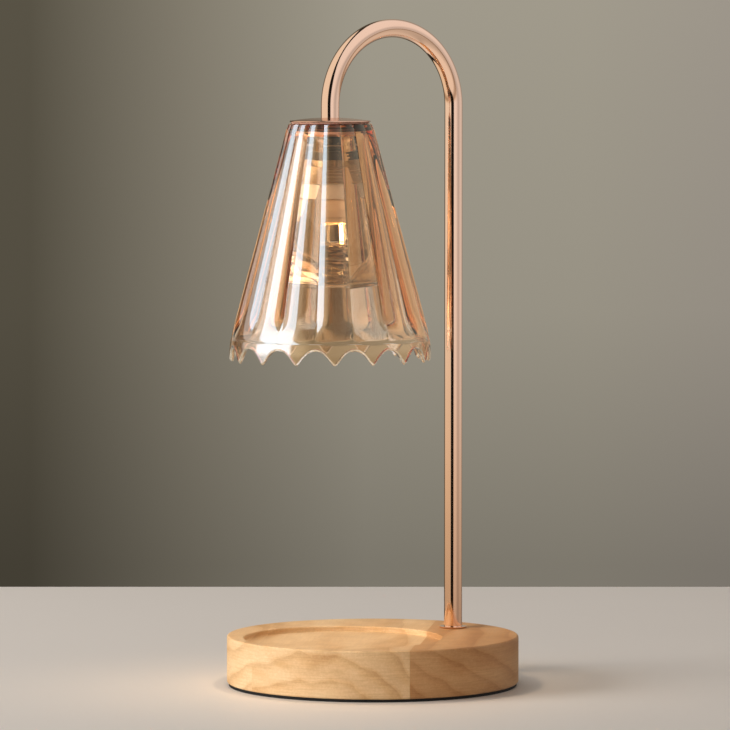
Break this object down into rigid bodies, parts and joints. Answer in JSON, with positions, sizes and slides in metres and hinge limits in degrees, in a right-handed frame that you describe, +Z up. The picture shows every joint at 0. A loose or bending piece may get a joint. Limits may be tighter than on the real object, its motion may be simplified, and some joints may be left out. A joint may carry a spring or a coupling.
{
  "type": "candle warmer lamp",
  "caption": "Candle warmer lamp: round wooden base with a candle recess, bent rose-gold arm, and a fluted glass shade with a scalloped hem over a twist-in reflector bulb.",
  "frame": {"origin": "middle of the base's underside, on the table's plane", "axes": "+Z up, the arm's plane along X with the post at +X and the shade at -X, the pictured front towards -Y"},
  "size_m": [0.165, 0.16, 0.3646],
  "materials": {
    "wood": "satin lacquered light wood with a fine straight grain",
    "pad": "matte foam pad",
    "weight_steel": "black painted steel",
    "zinc": "zinc plated",
    "rose_gold": "polished rose-gold plating on steel",
    "rubber": "moulded black rubber",
    "nylon": "natural nylon",
    "brass": "bare brass",
    "core_insulation": "silicone insulation",
    "amber_glass": "clear amber lustre glass",
    "gasket": "silicone rubber",
    "black_oxide": "blackened steel",
    "holder_black": "moulded thermoset",
    "aluminium": "satin turned aluminium",
    "ceramic": "unglazed cream ceramic",
    "bulb_ceramic": "white ceramic",
    "pin_metal": "nickel plated",
    "reflector_glass": "faceted reflector glass with a thin mirror coating",
    "clear_glass": "clear glass",
    "quartz": "quartz glass",
    "filament": "glowing tungsten"
  },
  "bodies": {
    "lamp": {"base_pad": "pad", "wood_base": "wood", "weight_plate": "weight_steel", "plate_screws": "zinc", "post_collar": "rose_gold", "post_washer": "zinc", "lock_washer": "zinc", "post_nut": "zinc", "cord_gland": "rubber", "terminal_block": "nylon", "block_barrels": "brass", "block_screws": "zinc", "block_fixing": "zinc", "arm_tube": "rose_gold", "core_leads": "core_insulation", "top_cap": "rose_gold", "cap_gasket": "gasket", "glass_shade": "amber_glass", "clamp_gasket": "gasket", "clamp_plate": "rose_gold", "shade_nut": "black_oxide", "holder_washer": "zinc", "holder_cover": "holder_black", "holder_ring": "aluminium", "holder_sleeve": "aluminium", "holder_ceramic": "ceramic", "holder_contacts": "brass", "holder_screws": "zinc"},
    "bulb": {"bulb_base": "bulb_ceramic", "bulb_pins": "pin_metal", "bulb_reflector": "reflector_glass", "bulb_front": "clear_glass", "bulb_capsule": "quartz", "bulb_filament": "filament"}
  },
  "joints": [
    {"name": "bulb_twist", "type": "hinge", "parent": "lamp", "child": "bulb", "pos_m": [-0.02885, 0, 0.267], "axis": [0, 0, -1], "range_deg": [0, 40]}
  ]
}
